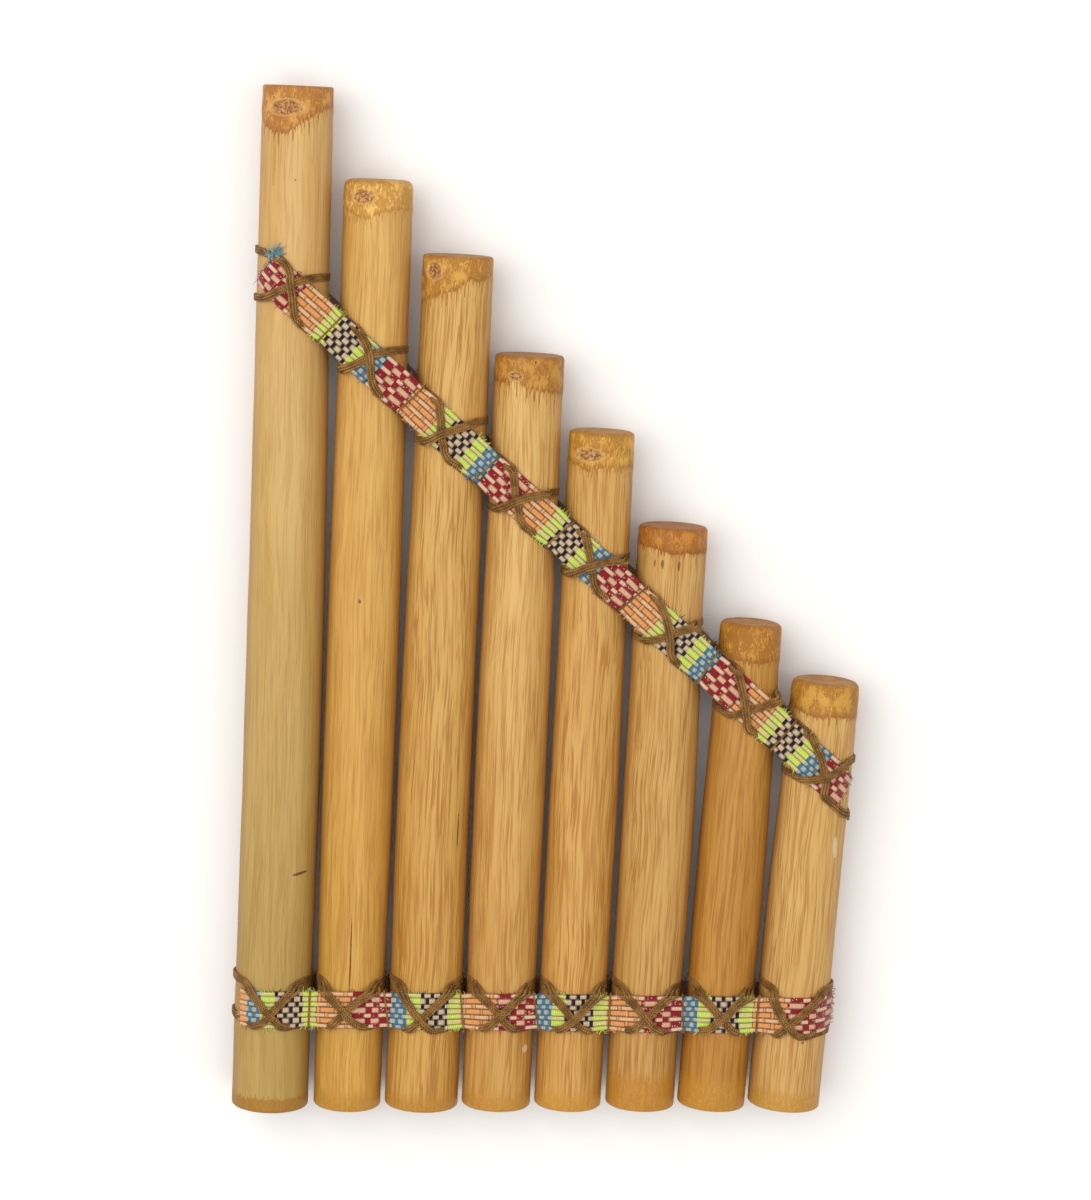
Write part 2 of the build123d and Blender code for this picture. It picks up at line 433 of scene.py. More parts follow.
class Spot:
    """Where a point of a cane's skin is, as sockets: round it, up from the mouth and down from the top."""

    def __init__(self, bench, cane):
        self.bench = bench
        thing = bench.node("ShaderNodeTexCoord").outputs["Object"]
        middle = [value * MM for value in cane.mouth]
        inputs = {"Vector": thing, "Location": middle, "Rotation": (0, 0, -cane.lean), "Scale": (MM, MM, MM)}
        place = bench.node("ShaderNodeMapping", inputs, vector_type="TEXTURE").outputs[0]
        x, self.along, z = bench.parts(place)[:3]
        self.radius = (cane.mouth_radius + cane.top_radius) / 2
        self.around = bench.times(bench.maths("ARCTAN2", x, z), self.radius)
        self.from_top = bench.less(cane.length, self.along)
        self.seeded = bench.add_vectors(place, (40.0 * cane.number, 90.0 * cane.number, 0.0))

    def mark(self, across, up, half_width, half_length, turn=0.0):
        """An oval mark round the skin and up from the mouth."""
        inputs = {"Around": self.around, "Along": self.along, "Across": across, "Up": up}
        inputs.update({"Half width": half_width, "Half length": half_length, "Turn": turn})
        return use_group(self.bench, mark, inputs)


def oiled_skin(bench, spot, look, grain, length):
    """The skin between both ends: a tone near each, pale where it is scraped, dark lines, and painted shade
    on both sides.
    """
    rise = bench.step(spot.along, 0.05 * length, length)
    tones = []
    for factor in (PLAIN, PALE, DARK):
        tones.append(bench.mix(rise, bamboo_tone(look["low"], factor), bamboo_tone(look["high"], factor)))
    skin, pale, dark = tones
    skin = bench.mix(bench.step(grain["Broad"], 0.38, 0.62), skin, pale)
    skin = bench.mix(bench.step(grain["Streak"], 0.54, 0.41, 0.0, 0.28 + 0.5 * look["worn"]), skin, dark)
    skin = bench.mix(bench.times(grain["Scraped"], look["worn"] * 0.8), skin, pale)
    skin = bench.mix(bench.times(grain["Lines"], look["worn"] * 0.9), skin, dark)
    # Painted shade: the skin is mixed towards its dark tone on both sides of the cane, away from the crown.
    side = bench.step(bench.maths("ABSOLUTE", spot.around), spot.radius * 0.75, spot.radius * 1.4, 0.0, 0.7)
    return bench.mix(side, skin, dark)


def scorch_tone(bench, spot, look, flecks, rim):
    """The scorched closed end: golden ticks, light and dark patches, and a deeper rim and lip."""
    golden = bamboo_tone(look["scorch"], PALE_TICK)
    brown = bamboo_tone(look["scorch"], DARK_TICK)
    deep = bamboo_tone(look["scorch"], DEEP)
    mottle = bench.noise(bench.stretch(spot.seeded, 0.3, 0.22, 0.3))
    tone = bench.mix(flecks, brown, golden)
    tone = bench.mix(bench.step(mottle, 0.5, 0.64, 0.0, 0.75), tone, golden)
    tone = bench.mix(bench.step(mottle, 0.48, 0.36, 0.0, 0.8), tone, brown)
    tone = bench.mix(bench.times(rim, 0.9), tone, deep)
    return bench.mix(bench.step(spot.from_top, 1.6, 0.2, 0.0, 0.45), tone, deep)


def mouth_tone(bench, look, flecks):
    """The stained mouth, lightly flecked."""
    dark, pale = bamboo_tone(look["mouth"], DARK), bamboo_tone(look["mouth"], PALE)
    tone = bench.mix(bench.times(flecks, 0.45), dark, pale)
    return bench.mix(0.25, tone, bamboo_tone(look["mouth"]))


def paint_scar(bench, spot, scar, length, painted):
    """A branch scar: pitted wood in a paler ring."""
    across, from_end, half_width, half_length = scar
    made = spot.mark(across, length - from_end, half_width, half_length)
    rough = bench.noise(bench.stretch(spot.seeded, 1.2, 1.4, 1.2), 1.0, 3.0, 0.7)
    wood = bench.mix(bench.step(rough, 0.4, 0.6), SCAR_PIT, SCAR_WOOD)
    painted = bench.mix(bench.times(made["Mask"], 0.85), painted, wood)
    return bench.mix(bench.times(made["Ring"], 0.45), painted, SCAR_RING)


def bamboo(cane, look):
    """Scraped and oiled bamboo: fibre, scorched closed end, stained mouth and its own marks."""
    material, bench, shader = new_material(f"bamboo_{cane.number + 1}")
    spot = Spot(bench, cane)
    seed = 3.0 * cane.number
    grain = use_group(bench, fibre, {"Place": spot.seeded})
    flecks = use_group(bench, speckle, {"Place": spot.seeded})["Mask"]
    skin = oiled_skin(bench, spot, look, grain, cane.length)
    if look["drip"]:
        across, from_end, half_width, half_length = look["drip"]
        drip = spot.mark(across, cane.length - from_end, half_width, half_length)
        skin = bench.mix(bench.times(drip["Mask"], 0.55), skin, bamboo_tone(look["scorch"]))
    cap = stain_on(
        bench, spot.around, spot.from_top, Reach=look["cap"], Slant=look["slant"], Ragged=look["ragged"],
        Runs=look["runs"], Softness=0.5, Seed=seed,
        Dip_at=look["dip"][0], Dip_width=look["dip"][1], Dip=look["dip"][2],
    )
    scorch = scorch_tone(bench, spot, look, flecks, cap["Rim"])
    painted = bench.mix(bench.times(cap["Mask"], 0.92), skin, scorch)
    foot = stain_on(
        bench, spot.around, spot.along, Reach=look["stain"], Slant=0.0, Ragged=5.0, Runs=1.5,
        Softness=look["stain_soft"], Seed=seed + 1.0, Dip_at=0.0, Dip_width=5.0, Dip=0.0,
    )
    painted = bench.mix(bench.times(foot["Mask"], 0.85), painted, mouth_tone(bench, look, flecks))
    relief = bench.times(bench.times(flecks, cap["Mask"]), 0.6)
    height = bench.add(bench.times(grain["Height"], 0.5), relief)
    if look["scar"]:
        painted = paint_scar(bench, spot, look["scar"], cane.length, painted)
    for kind, *place in look["marks"]:
        made = spot.mark(*place)
        painted = bench.mix(bench.times(made["Mask"], 0.85), painted, MARK_COLOURS[kind])
        height = bench.less(height, made["Mask"])

    bench.tree.links.new(painted, shader.inputs["Base Color"])
    gloss = bench.step(grain["Streak"], 0.3, 0.7, 0.44, 0.6)
    bench.tree.links.new(gloss, shader.inputs["Roughness"])
    bench.tree.links.new(bench.bump(height, 0.00012), shader.inputs["Normal"])
    shader.inputs["Specular IOR Level"].default_value = 0.3
    return material


# ---------------------------------------------------------------- turning a cane from rings


def clear_selection():
    bpy.ops.object.select_all(action="DESELECT")


def active_piece():
    return bpy.context.view_layer.objects.active


def apply_modifier(piece, kind, name, **settings):
    modifier = piece.modifiers.new(name, kind)
    for key, value in settings.items():
        setattr(modifier, key, value)
    bpy.ops.object.modifier_apply(modifier=modifier.name)


def cloud(name, size):
    """A soft noise for relief. size is the width of one lump, in millimetres."""
    texture = bpy.data.textures.new(name, "CLOUDS")
    texture.noise_scale = size * MM
    texture.noise_depth = 2
    return texture


SKIN_CLOUD = cloud("skin_waviness", 26.0)
SCAR_CLOUD = cloud("scar_pits", 1.5)


def cane_profile(cane, cap, crown):
    """Rings of a cane: down its bore, out of the mouth, up the outside and over the closed end."""
    length = cane.length
    lip = MOUTH_ROUNDING
    rings = [(cane.bore, 0.7 * cane.depth), (cane.bore, 0.35 * cane.depth), (cane.bore, 1.2)]
    rings += [(cane.bore + 0.25, 0.35), (cane.bore + 0.8, 0.0)]
    for turn in (0, 30, 60, 90):
        angle = math.radians(turn)
        rings.append((cane.mouth_radius - lip + lip * math.sin(angle), lip - lip * math.cos(angle)))
    node = length - cap
    for along in (5.0, node * 0.25, node * 0.5, node * 0.75, node - 6.0):
        rings.append((cane.radius(along), along))
    rings += [(cane.radius(node) - 0.06, node - 2.5), (cane.radius(node) + 0.1, node)]
    rings += [(cane.radius(node) + 0.02, node + 1.8), (cane.radius(length), length - 3.0)]
    for turn in (0, 30, 60, 90):
        angle = math.radians(turn)
        inset = crown - crown * math.cos(angle)
        rings.append((cane.top_radius - inset, length - crown + crown * math.sin(angle)))
    rings += [(cane.top_radius * 0.72, length - 0.12), (cane.top_radius * 0.4, length - 0.3)]
    rings += [(cane.top_radius * 0.12, length - 0.2)]
    return rings


def turn_cane(cane, cap, crown):
    """One cane, ring by ring, standing upright on the origin with its mouth down."""
    clear_selection()
    start = (0, 0, cane.depth * MM)
    bpy.ops.mesh.primitive_circle_add(
        vertices=RING_SIDES, radius=cane.bore * MM, fill_type="NGON", location=start
    )
    piece = active_piece()
    bpy.ops.object.transform_apply(location=True, rotation=True, scale=True)
    bpy.ops.object.mode_set(mode="EDIT")
    bpy.ops.mesh.select_mode(type="EDGE")
    bpy.ops.mesh.select_all(action="SELECT")
    bpy.ops.mesh.region_to_loop()
    radius, height = cane.bore, cane.depth
    for next_radius, next_height in cane_profile(cane, cap, crown):
        rise = (0, 0, (next_height - height) * MM)
        bpy.ops.mesh.extrude_edges_move(TRANSFORM_OT_translate={"value": rise})
        grow = next_radius / radius
        bpy.ops.transform.resize(value=(grow, grow, 1), center_override=(0, 0, next_height * MM))
        radius, height = next_radius, next_height
    bpy.ops.mesh.edge_face_add()
    cut_long_edges()
    bpy.ops.mesh.select_all(action="SELECT")
    bpy.ops.mesh.normals_make_consistent(inside=False)
    bpy.ops.object.mode_set(mode="OBJECT")
    return piece


def outside_rise(edge):
    """How far an edge on the outside of the upright cane climbs, and nothing for any other edge."""
    low, high = sorted(vertex.co.z / MM for vertex in edge.verts)
    outside = min(vertex.co.xy.length for vertex in edge.verts) / MM > BORES_WITHIN
    return high - low if outside else 0.0


def cut_long_edges():
    """Rings all the way up the outside, so that the skin can be uneven."""
    mesh = bmesh.from_edit_mesh(active_piece().data)
    rises = [outside_rise(edge) for edge in mesh.edges]
    for span in sorted({round(rise, 2) for rise in rises if rise > 2 * RING_SPACING}):
        bpy.ops.mesh.select_all(action="DESELECT")
        mesh = bmesh.from_edit_mesh(active_piece().data)
        for edge in mesh.edges:
            edge.select_set(abs(outside_rise(edge) - span) < 0.01)
        bmesh.update_edit_mesh(active_piece().data)
        bpy.ops.mesh.subdivide(number_cuts=int(span / RING_SPACING))


def lay_down(piece, cane):
    """Tips the upright cane into its place in the flute and applies the move."""
    piece.rotation_mode = "XYZ"
    piece.rotation_euler = (math.radians(-90), 0, -cane.lean)
    piece.location = [value * MM for value in cane.mouth]
    bpy.ops.object.transform_apply(location=True, rotation=True, scale=True)


def on_skin(cane, piece):
    """Each vertex of a laid cane as its distance across, along and out of the cane's axis, in millimetres."""
    corners = np.array([v.co for v in piece.data.vertices]) / MM - np.array(cane.mouth)
    return corners @ np.array(cane.across), corners @ np.array(cane.axis), corners[:, 2]


def weigh(piece, name, weights):
    """A vertex group from one weight for each vertex."""
    group = piece.vertex_groups.new(name=name)
    for index, weight in enumerate(weights):
        if weight > 0:
            group.add([index], float(weight), "REPLACE")
    return group.name


def roughen_skin(cane, piece):
    """The outside is a little uneven, and the bore stays true."""
    across, _, out = on_skin(cane, piece)
    outside = (np.hypot(across, out) > cane.bore + BORE_SKIN).astype(float)
    group = weigh(piece, "skin", outside)
    apply_modifier(
        piece, "DISPLACE", "waviness", texture=SKIN_CLOUD, texture_coords="GLOBAL",
        strength=SKIN_WAVE * MM, mid_level=0.5, vertex_group=group,
    )


def swell_and_bow(cane, piece, swell, bow):
    """Between its two lashings a cane is a little thicker than at them, and a little bent to one side."""
    across, along, out = on_skin(cane, piece)
    low, high = [lashing_height(cane, name) for name in ("lower", "upper")]
    share = np.clip((along - low) / (high - low), 0, 1)
    middle = np.sin(math.pi * share) ** 0.8
    outside = np.hypot(across, out) > cane.bore + BORE_SKIN
    group = weigh(piece, "swelling", middle * outside)
    apply_modifier(piece, "DISPLACE", "swelling", strength=swell * MM, mid_level=0.0, vertex_group=group)
    group = weigh(piece, "bow", middle)
    apply_modifier(
        piece, "DISPLACE", "bow", direction="X", strength=bow * MM, mid_level=0.0, vertex_group=group
    )


def lashing_height(cane, name):
    """How far up a cane the middle of a lashing is."""
    centre = sum(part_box(f"{name}_lashing_{cane.number + 1}"), Vector()) / 2 / MM
    return (centre - cane.mouth).dot(cane.axis)


def carve_scar(cane, piece, scar):
    """The rough oval where a branch was cut off: a pitted middle with a raised lip."""
    middle, from_end, half_width, half_length = scar
    up = cane.length - from_end
    radius = cane.top_radius
    bpy.ops.object.mode_set(mode="EDIT")
    bpy.ops.mesh.select_mode(type="FACE")
    bpy.ops.mesh.select_all(action="DESELECT")
    mesh = bmesh.from_edit_mesh(piece.data)
    for face in mesh.faces:
        spot = face.calc_center_median() / MM - cane.mouth
        around = math.atan2(spot.dot(cane.across), spot.z) * radius
        near = math.hypot((around - middle) / half_width, (spot.dot(cane.axis) - up) / half_length)
        face.select_set(near < 1.7 and spot.z > 0 and spot.dot(cane.axis) < cane.length - 0.6)
    bmesh.update_edit_mesh(piece.data)
    bpy.ops.mesh.subdivide(number_cuts=3)
    bpy.ops.object.mode_set(mode="OBJECT")
    across, along, out = on_skin(cane, piece)
    around = np.arctan2(across, out) * radius
    far = np.hypot((around - middle) / half_width, (along - up) / half_length)
    outside = (out > 0) & (np.hypot(across, out) > cane.bore + 1)
    pit = np.clip((1.05 - far) / 0.3, 0, 1) * outside
    lip = np.clip(1 - np.abs(far - 1.12) / 0.3, 0, 1) * outside
    pits = weigh(piece, "scar_pit", pit)
    lips = weigh(piece, "scar_lip", lip)
    apply_modifier(
        piece, "DISPLACE", "pits", texture=SCAR_CLOUD, texture_coords="GLOBAL",
        strength=1.5 * MM, mid_level=0.75, vertex_group=pits,
    )
    apply_modifier(piece, "DISPLACE", "lip", strength=0.3 * MM, mid_level=0.0, vertex_group=lips)


def make_cane(cane, own_look):
    """A finished cane that stands for its node."""
    look = {**PLAIN_LOOK, **own_look}
    piece = turn_cane(cane, look["cap"], look["crown"])
    lay_down(piece, cane)
    roughen_skin(cane, piece)
    swell_and_bow(cane, piece, look["swell"], look["bow"])
    if look["scar"]:
        carve_scar(cane, piece, look["scar"])
    piece.vertex_groups.clear()
    bpy.ops.object.shade_smooth_by_angle(angle=math.radians(40))
    piece.name = f"bamboo_{cane.name}"
    piece.data.name = piece.name
    piece.data.materials.append(bamboo(cane, look))
    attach(piece, "root")
    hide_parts(cane.name)


# ---------------------------------------------------------------- where the ribbons lie


def smooth_step(value, low, high):
    share = np.clip((value - low) / (high - low), 0, 1)
    return share * share * (3 - 2 * share)


class RibbonLine:
    """A ribbon's flat place: s runs along it and w across it, in millimetres from the crown of cane 1."""

    def __init__(self, name):
        turn = math.radians(RIBBON_SLOPE[name])
        self.name = name
        self.along = np.array([math.cos(turn), math.sin(turn)])
        self.over = np.array([-math.sin(turn), math.cos(turn)])
        node = frame["nodes"][f"front_{name}_ribbon"]
        spread = np.array([v.co[:2] for v in node.data.vertices]) / MM @ self.over
        self.width = float(spread.max() - spread.min())
        base = self.over * float(spread.max() + spread.min()) / 2
        first = float((MOUTHS[0] - base) @ ACROSS[0] / (self.along @ ACROSS[0]))
        self.base = base + self.along * first
        reach = (MOUTHS - self.base) * ACROSS
        self.crossings = reach.sum(axis=1) / (ACROSS @ self.along)
        self.start = -RIBBON_ENDS[name][0]
        self.end = float(self.crossings[-1]) + RIBBON_ENDS[name][1]

    def flat(self, spots):
        """Flat places for points on the plan."""
        rest = spots - self.base
        return rest @ self.along, rest @ self.over

    def plan(self, s, w):
        return self.base + np.multiply.outer(s, self.along) + np.multiply.outer(w, self.over)

    def between(self, spots):
        """For points on the plan, between which two canes each lies.

        Gives the share of the way across, the two radii there, the two offsets from the axes, and how far up
        every cane the point is.
        """
        rest = spots[..., None, :] - MOUTHS
        offsets = (rest * ACROSS).sum(-1)
        alongs = (rest * AXES).sum(-1)
        radii = np.stack([cane.radius(alongs[..., cane.number]) for cane in canes], axis=-1)
        before = np.clip((offsets >= 0).sum(-1) - 1, 0, COUNT - 2)[..., None]
        low, left = [np.take_along_axis(values, before, -1)[..., 0] for values in (radii, offsets)]
        high, right = [np.take_along_axis(values, before + 1, -1)[..., 0] for values in (radii, offsets)]
        return left / (left - right), low, high, left, right, alongs

    def bridge(self, share, low, high):
        """The height of the cloth's underside over the axes, between two crowns."""
        return low + (high - low) * share - SAG * (1 - np.cos(2 * math.pi * share)) / 2 + UNDER_GAP

    def height(self, spots, lift):
        """How high the cloth is over the axes at points on the plan, raised by lift."""
        share, low, high, left, right, _ = self.between(spots)
        level = self.bridge(np.clip(share, 0, 1), low, high) + lift
        rim_first = np.sqrt(np.maximum((low + lift) ** 2 - left**2, 0.01))
        rim_last = np.sqrt(np.maximum((high + lift) ** 2 - right**2, 0.01))
        level = np.where(share < 0, rim_first, level)
        return np.where(share > 1, rim_last, level)

    def lay(self, s, w, lift, side):
        """Flat places as points in space, in millimetres: over the crowns and round the outer canes."""
        spots = self.plan(s, w)
        share, low, high, left, right, alongs = self.between(spots)
        level = self.bridge(np.clip(share, 0, 1), low, high) + lift
        outer = ((0, share < 0, left, low), (COUNT - 1, share > 1, right, high))
        for number, beyond, offset, radius in outer:
            angle = offset / (radius + UNDER_GAP)
            ring = radius + UNDER_GAP + lift
            turned = MOUTHS[number] + alongs[..., number, None] * AXES[number]
            turned = turned + (ring * np.sin(angle))[..., None] * ACROSS[number]
            spots = np.where(beyond[..., None], turned, spots)
            level = np.where(beyond, ring * np.cos(angle), level)
        return np.concatenate([spots, (AXIS_HEIGHT + side * level)[..., None]], axis=-1)

    def squeeze(self, s):
        """How much narrower the cloth is at a gap, where one turn of cord pinches it."""
        middles = (self.crossings[1:] + self.crossings[:-1]) / 2
        near = np.abs(np.subtract.outer(s, middles)).min(-1)
        return 1 - PINCH * np.exp(-((near / 2.6) ** 2))


ribbon_lines = {name: RibbonLine(name) for name in RIBBON_SLOPE}


# ---------------------------------------------------------------- the weave

THREADS = {
    "red": colour(140, 8, 18),
    "pink": colour(232, 184, 152),
    "rose": colour(222, 166, 132),
    "orange": colour(226, 152, 88),
    "peach": colour(230, 180, 132),
    "lime": colour(198, 214, 92),
    "straw": colour(212, 200, 122),
    "black": colour(20, 13, 11),
    "cream": colour(206, 178, 146),
    "blue": colour(72, 112, 142),
    "ice": colour(164, 178, 170),
    "green": colour(36, 66, 54),
    "teal": colour(112, 178, 184),
    "tan": colour(206, 152, 96),
}
# Each block of the repeat, measured from the middle of the red one: where it ends and what it is
BLOCKS = (
    (6.5, "red"), (16.4, "orange"), (20.3, "lime_narrow"),
    (28.5, "black"), (32.4, "lime_wide"), (37.3, "blue"),
)
LAST_BLOCK = "red"
# Where the first end of each ribbon has lost its pattern
FRAYED_BEFORE = {"upper": -20.0, "lower": -6.9}
# How much of the last end of each ribbon stays in the last block
LAST_BLOCK_LENGTH = {"upper": 0.0, "lower": 10.0}
# Lengths of a float and of the stitches after it, for each block
BRICKS = {
    "red": (4.2, 3.5),
    "black": (1.9, 1.05),
    "blue": (1.4, 0.95),
    "orange": (4.6, 0.6),
    "frayed": (2.2, 0.5),
}


def block_at(line, s):
    """The block of the pattern at a distance along a ribbon, and how far into the repeat it is."""
    if s < FRAYED_BEFORE[line.name]:
        return "frayed", 0.0
    repeat = PATTERN_REPEAT[line.name]
    into = ((s - PATTERN_START[line.name]) * PATTERN_WAY[line.name]) % repeat
    if s > line.end - LAST_BLOCK_LENGTH[line.name]:
        return LAST_BLOCK, into
    for end, name in BLOCKS:
        if into < end:
            return name, into
    return LAST_BLOCK, into


def thread_at(line, s, row):
    """What shows on one rib of the weave: its colour, whether it is a float, and the place in the float."""
    block, into = block_at(line, s)
    wide = row % 2 == 1
    if block in BRICKS:
        floated, stitched = BRICKS[block]
        period = floated + stitched
        phase = (into + (row % 2) * period / 2 + floated / 2) % period
        on_float = phase < floated
        share = phase / floated if on_float else (phase - floated) / stitched
    else:
        on_float = wide == (block == "lime_narrow")
        share = 0.5
    tones = {
        "red": ("rose" if wide else "pink", "red"),
        "orange": ("orange" if wide else "peach", "orange"),
        "black": ("cream", "black"),
        "blue": ("ice", "green" if into > 36.6 else "blue"),
        "lime_narrow": ("straw", "lime"),
        "lime_wide": ("straw", "lime"),
        "frayed": ("tan" if wide else "peach", "orange"),
    }[block]
    return tones[0 if on_float else 1], on_float, share


def across_ribbon(width):
    """Places across the cloth's face, the rib that each belongs to and how far up the rib's dome it is."""
    places, rows, domes = [], [], []
    scale = width / sum(ROW_WIDTHS)
    edge = -width / 2
    for row, row_width in enumerate(ROW_WIDTHS):
        for cut in range(ROW_CUTS):
            share = cut / ROW_CUTS
            places.append(edge + share * row_width * scale)
            rows.append(row)
            domes.append(math.sin(math.pi * share) ** 0.6)
        edge += row_width * scale
    return np.array(places + [width / 2]), rows, np.array(domes + [0.0])


def weave(line, rng):
    """The relief and the colour of a ribbon's face, on a grid of stations along it and places across it."""
    stations = np.arange(line.start, line.end + STATION / 2, STATION)
    places, rows, domes = across_ribbon(line.width)
    relief = np.zeros((len(stations), len(places)))
    paint = np.zeros((len(stations) - 1, len(places) - 1, 4))
    wander = [rng.uniform(-0.35, 0.35) for _ in ROW_WIDTHS]
    for k, s in enumerate(stations):
        threads = [thread_at(line, s + wander[row], row) for row in range(len(ROW_WIDTHS))]
        for j in range(len(places) - 1):
            tone, on_float, share = threads[rows[j]]
            end = 1 - (2 * share - 1) ** 8 if on_float else 0.62
            relief[k, j] = RELIEF * domes[j] * (0.35 + 0.65 * end if on_float else end)
            if k < len(stations) - 1:
                paint[k, j] = thread_colour_with_painted_shade(tone, on_float, share, j % ROW_CUTS, rng)
    return stations, places, relief, paint


def thread_colour_with_painted_shade(tone, on_float, share, cut, rng):
    """One facet's colour: painted shade darkens it between the ribs and at the ends of a float, and it is a
    little uneven.
    """
    level = rng.uniform(0.9, 1.06)
    # Painted shade: facets at the edges of each rib, and at the ends of each float, are darkened.
    if cut in (0, ROW_CUTS - 1):
        level *= 0.34 if on_float else 0.7
    if on_float and (share < 0.07 or share > 0.93):
        level *= 0.5
    if tone == "red" and rng.random() < 0.05:
        tone = "pink"
        level *= 0.8
    red, green, blue, _ = THREADS[tone]
    return (red * level, green * level, blue * level, 1.0 if on_float else 0.0)


def cross_section(line, stations, places, relief):
    """Points of the closed cloth at each station: over its face from edge to edge and back under it."""
    narrow = line.squeeze(stations)[:, None]
    top_w = places[None, :] * narrow
    edge = smooth_step(np.abs(places), line.width / 2 - 0.7, line.width / 2)
    top_lift = CLOTH - 0.3 * edge[None, :] + relief
    under = np.linspace(places[-1], places[0], 7) * 0.985
    under_w = under[None, :] * narrow
    under_lift = np.zeros_like(under_w)
    w = np.concatenate([top_w, under_w], axis=1)
    lift = np.concatenate([top_lift, under_lift], axis=1)
    s = np.repeat(stations[:, None], w.shape[1], axis=1)
    return s, w, lift


def build_mesh(name, corners, faces):
    mesh = bpy.data.meshes.new(name)
    mesh.from_pydata([tuple(corner) for corner in corners], [], faces)
    mesh.validate()
    piece = bpy.data.objects.new(name, mesh)
    bpy.context.scene.collection.objects.link(piece)
    return piece


def strip_faces(stations, ring, closed):
    """Quads between rings of points, with the two ends filled if the strip isn't closed."""
    faces = []
    for k in range(stations if closed else stations - 1):
        here, there = k * ring, ((k + 1) % stations) * ring
        for j in range(ring):
            after = (j + 1) % ring
            faces.append((here + j, there + j, there + after, here + after))
    if not closed:
        faces.append(tuple(range(ring)))
        faces.append(tuple(reversed(range((stations - 1) * ring, stations * ring))))
    return faces


def paint_faces(piece, colours):
    """A thread colour for each face, held at its corners."""
    attribute = piece.data.color_attributes.new("thread", "FLOAT_COLOR", "CORNER")
    values = []
    for face in piece.data.polygons:
        values.extend(list(colours[face.index]) * face.loop_total)
    attribute.data.foreach_set("color", values)


def face_outwards(piece):
    """Turns every face of a closed shell outwards."""
    mesh = bmesh.new()
    mesh.from_mesh(piece.data)
    bmesh.ops.recalc_face_normals(mesh, faces=mesh.faces)
    mesh.to_mesh(piece.data)
    mesh.free()


def map_flat(piece, flats):
    """A UV map in metres from one flat place for each vertex."""
    layer = piece.data.uv_layers.new(name="flat")
    loops = np.zeros(len(piece.data.loops), int)
    piece.data.loops.foreach_get("vertex_index", loops)
    layer.data.foreach_set("uv", np.asarray(flats)[loops].ravel())


def make_ribbon(line, side_name, finish):
    """One woven ribbon as a closed sheet, with its weave in relief."""
    rng = random.Random(f"{side_name} {line.name}")
    stations, places, relief, paint = weave(line, rng)
    s, w, lift = cross_section(line, stations, places, relief)
    corners = line.lay(s.ravel(), w.ravel(), lift.ravel(), SIDES[side_name]) * MM
    ring = s.shape[1]
    faces = strip_faces(len(stations), ring, closed=False)
    piece = build_mesh(f"{side_name}_{line.name}_weave", corners, faces)
    plain = (*[value * 0.5 for value in THREADS["rose"][:3]], 1.0)
    colours = [
        tuple(paint[k, j]) if j < len(places) - 1 else plain
        for k in range(len(stations) - 1)
        for j in range(ring)
    ]
    paint_faces(piece, colours + [plain, plain])
    map_flat(piece, np.stack([s.ravel(), w.ravel()], axis=-1) * MM)
    face_outwards(piece)
    piece.data.shade_smooth()
    piece.data.materials.append(finish)
    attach(piece, "root")
    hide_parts(f"{side_name}_{line.name}_ribbon")
    return piece


# ---------------------------------------------------------------- cords


def sweep(points, outs, radius, flats, phase):
    """A twisted cord round a closed line. outs face away from what it lies on, and flats press it thin."""
    count = len(points)
    ahead = np.roll(points, -1, axis=0) - np.roll(points, 1, axis=0)
    ahead /= np.linalg.norm(ahead, axis=1)[:, None]
    outs = outs - (outs * ahead).sum(1)[:, None] * ahead
    outs /= np.linalg.norm(outs, axis=1)[:, None]
    beside = np.cross(ahead, outs)
    steps = np.linalg.norm(np.roll(points, -1, axis=0) - points, axis=1)
    runs = np.concatenate([[0], np.cumsum(steps)])
    turns = round(runs[-1] / TWIST_PITCH)
    angles = np.arange(CORD_SIDES) * 2 * math.pi / CORD_SIDES
    twist = 2 * math.pi * turns * runs[:-1] / runs[-1] + phase
    lobes = 1 + 0.11 * np.cos(PLIES * (angles[None, :] - twist[:, None]))
    high = (radius * flats)[:, None] * lobes * np.cos(angles)
    wide = radius * lobes * np.sin(angles)
    corners = points[:, None, :] + high[..., None] * outs[:, None, :] + wide[..., None] * beside[:, None, :]
    ply = (PLIES * (angles[None, :] - twist[:, None])) / (2 * math.pi)
    run = np.repeat(runs[:-1, None], CORD_SIDES, axis=1)
    plies = np.stack([ply, run], axis=-1).reshape(-1, 2)
    return corners.reshape(-1, 3), plies, strip_faces(count, CORD_SIDES, True)


def even_steps(points, outs, flats, step):
    """The same closed line with its points a step apart."""
    closed = np.vstack([points, points[:1]])
    steps = np.linalg.norm(np.diff(closed, axis=0), axis=1)
    runs = np.concatenate([[0], np.cumsum(steps)])
    places = np.arange(0, runs[-1] - step / 2, runs[-1] / round(runs[-1] / step))

    def take(values):
        values = np.vstack([values, values[:1]])
        return np.stack([np.interp(places, runs, values[:, axis]) for axis in range(values.shape[1])], axis=1)

    return take(points), take(outs), take(flats[:, None])[:, 0]


def pull_tight(needs, angles):
    """Distances from the cane's axis of a cord pulled tight over what it has to clear."""
    ways = np.stack([np.sin(angles), np.cos(angles)], axis=1)
    reach = needs.copy()
    for _ in range(PULLS):
        spots = reach[:, None] * ways
        middles = (np.roll(spots, 1, axis=0) + np.roll(spots, -1, axis=0)) / 2
        reach = np.maximum(needs, (middles * ways).sum(1))
    return reach


